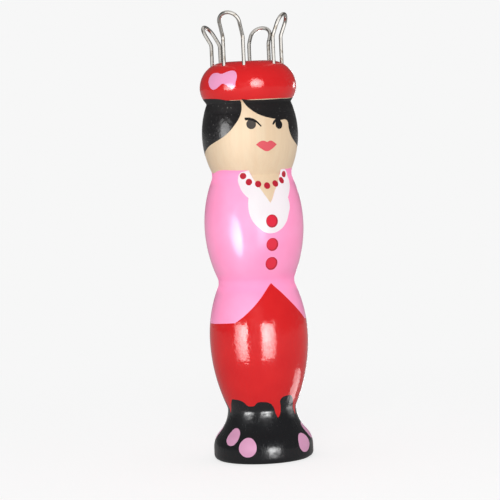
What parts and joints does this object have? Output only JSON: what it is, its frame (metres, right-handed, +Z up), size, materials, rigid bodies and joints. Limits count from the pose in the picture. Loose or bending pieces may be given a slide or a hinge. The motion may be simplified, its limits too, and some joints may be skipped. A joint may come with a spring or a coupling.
{
  "type": "knitting nancy",
  "caption": "Turned wooden doll with a bore right through it and bent wire loops on its head, for knitting a round cord by hand.",
  "frame": {"origin": "middle of the base, on the surface that the doll stands on", "axes": "+Z up along the bore, -Y the way the doll faces, +X to the right as seen from its front"},
  "size_m": [0.0259, 0.0258, 0.1163],
  "materials": {
    "bare_wood": "clear lacquer",
    "loop_wire": "bright drawn wire",
    "red_paint": "brushed gloss paint",
    "pink_paint": "brushed gloss paint",
    "white_paint": "brushed gloss paint",
    "black_paint": "brushed gloss paint"
  },
  "bodies": {
    "root": {"turned_body": "bare_wood", "loop_front_left": "loop_wire", "loop_front_right": "loop_wire", "loop_back_left": "loop_wire", "loop_back_right": "loop_wire"}
  },
  "joints": []
}
